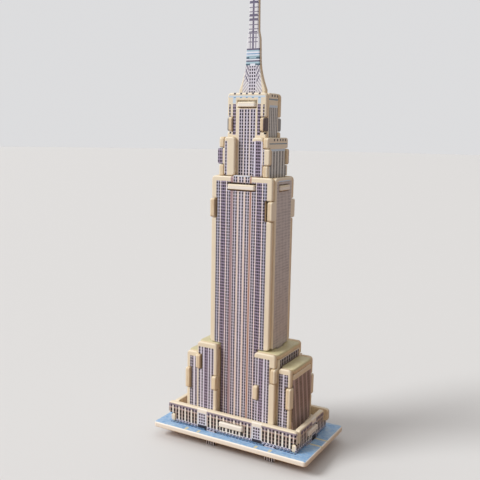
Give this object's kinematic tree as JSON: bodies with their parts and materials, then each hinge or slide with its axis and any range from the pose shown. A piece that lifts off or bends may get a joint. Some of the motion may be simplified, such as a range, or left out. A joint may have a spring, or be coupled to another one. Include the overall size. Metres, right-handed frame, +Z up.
{
  "type": "miniature landmark model",
  "caption": "Miniature stepped Art-Deco skyscraper with tall spire, built from press-fit printed plywood boards on a raised base plate.",
  "frame": {"origin": "centre of the footprint on the surface that the feet stand on", "axes": "+Z up along the spire, -Y out of the front facade, +X along the wide facade to its right"},
  "size_m": [0.1016, 0.0552, 0.281],
  "materials": {
    "base_print": "light blue print with pale lines on the top of pale 3 mm plywood, satin",
    "facade_print": "fine print of windows and piers with cream margins on plywood, satin",
    "side_print": "fine grey-brown print of windows with cream margins on plywood, satin",
    "roof_print": "plain pale yellow-green print on plywood, satin",
    "spire_print": "pale print of lattice, bands and buttresses on plywood, satin",
    "bare_board": "unprinted plywood, matt"
  },
  "bodies": {
    "root": {"base_plate": "base_print", "podium_front_wall": "facade_print", "podium_back_wall": "facade_print", "podium_left_wall": "facade_print", "podium_right_wall": "facade_print", "podium_deck": "bare_board", "outer_wing_left_front": "facade_print", "outer_wing_left_back": "facade_print", "outer_wing_left_side": "side_print", "outer_wing_left_roof": "roof_print", "inner_wing_left_front": "facade_print", "inner_wing_left_back": "facade_print", "inner_wing_left_outer_side": "side_print", "inner_wing_left_inner_side": "bare_board", "inner_wing_left_roof": "roof_print", "outer_wing_right_front": "facade_print", "outer_wing_right_back": "facade_print", "outer_wing_right_side": "side_print", "outer_wing_right_roof": "roof_print", "inner_wing_right_front": "facade_print", "inner_wing_right_back": "facade_print", "inner_wing_right_outer_side": "side_print", "inner_wing_right_inner_side": "bare_board", "inner_wing_right_roof": "roof_print", "shaft_front": "facade_print", "shaft_back": "facade_print", "shaft_left": "side_print", "shaft_right": "side_print", "shaft_roof": "roof_print", "tier_left_side": "side_print", "tier_right_side": "side_print", "tier_front_left": "facade_print", "tier_front_right": "facade_print", "tier_back_left": "facade_print", "tier_back_right": "facade_print", "crown_front": "facade_print", "crown_back": "facade_print", "crown_left": "side_print", "crown_right": "side_print", "crown_roof": "roof_print", "spire_board": "spire_print"}
  },
  "joints": []
}
